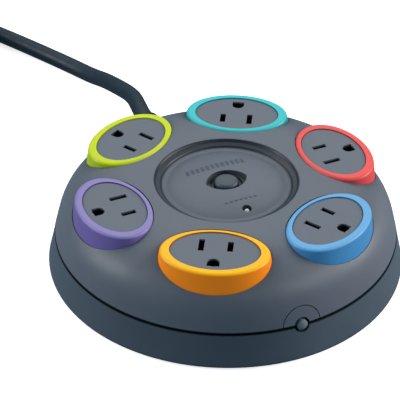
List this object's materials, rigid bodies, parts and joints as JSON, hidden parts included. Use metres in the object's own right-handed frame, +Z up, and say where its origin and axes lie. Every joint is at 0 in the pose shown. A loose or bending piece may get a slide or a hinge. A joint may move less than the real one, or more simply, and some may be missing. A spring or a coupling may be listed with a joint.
{
  "type": "power strip",
  "caption": "Round table-top power strip: low domed casing with a ring of coloured grounded sockets, a central push switch, a front reset button and a mains cord.",
  "frame": {"origin": "on the floor under the middle of the round casing", "axes": "+Z up, +Y towards the cord exit, reset button faces -Y, +X through the coral socket"},
  "size_m": [0.2484, 0.3807, 0.0443],
  "materials": {
    "casing": "satin slate grey moulding",
    "face": "satin slate grey moulding",
    "button": "satin slate grey moulding",
    "steel": "zinc plated",
    "rubber": "matt",
    "brass": "stamped",
    "carrier": "moulded",
    "lens": "clear moulding",
    "board": "fibreglass board",
    "component_blue": "dipped",
    "component_yellow": "moulded case",
    "component_white": "ceramic",
    "lead_black": "insulation",
    "lead_white": "insulation",
    "lead_green": "insulation",
    "cord": "satin slate jacket",
    "tie": "moulded clip",
    "ring_coral": "satin",
    "ring_teal": "satin",
    "ring_lime": "satin",
    "ring_purple": "satin",
    "ring_orange": "satin",
    "ring_blue": "satin"
  },
  "bodies": {
    "casing": {"base_tray": "casing", "breaker_body": "carrier", "breaker_lead": "lead_black", "breaker_terminals": "brass", "button_spring": "steel", "carrier_screws": "steel", "clamp_screws": "steel", "coil_tie": "tie", "contact_carrier": "carrier", "cord_clamp": "carrier", "cord_coil": "cord", "cord_inner_jacket": "cord", "cord_tail": "cord", "cord_tube": "cord", "filter_capacitor": "component_yellow", "ground_bus": "brass", "ground_lead": "lead_green", "housing_screws": "steel", "light_pipe": "lens", "line_bus": "brass", "line_lead": "lead_black", "neutral_bus": "brass", "neutral_lead": "lead_white", "plug_body": "cord", "plug_ground_pin": "brass", "plug_line_blade": "brass", "plug_neutral_blade": "brass", "reset_escutcheon": "casing", "ring_blue": "ring_blue", "ring_coral": "ring_coral", "ring_lime": "ring_lime", "ring_orange": "ring_orange", "ring_purple": "ring_purple", "ring_teal": "ring_teal", "rubber_feet": "rubber", "socket_face_blue": "face", "socket_face_coral": "face", "socket_face_lime": "face", "socket_face_orange": "face", "socket_face_purple": "face", "socket_face_teal": "face", "status_led": "lens", "strain_relief": "cord", "surge_board": "board", "surge_leads": "lead_black", "switch_body": "carrier", "switch_terminals": "brass", "switched_lead": "lead_black", "thermal_fuse": "component_white", "top_cover": "casing", "varistors": "component_blue"},
    "power_button": {"power_button": "button", "contact_bridge": "brass"},
    "reset_button": {"reset_button": "button"}
  },
  "joints": [
    {"name": "power_press", "type": "slide", "parent": "casing", "child": "power_button", "axis": [0, 0, -1], "range_m": [0, 0.0025], "stiffness_N_per_m": 400, "springref_m": -0.002, "deforming": ["button_spring"]},
    {"name": "reset_pop", "type": "slide", "parent": "casing", "child": "reset_button", "axis": [0, -1, 0], "range_m": [0, 0.0022]}
  ]
}
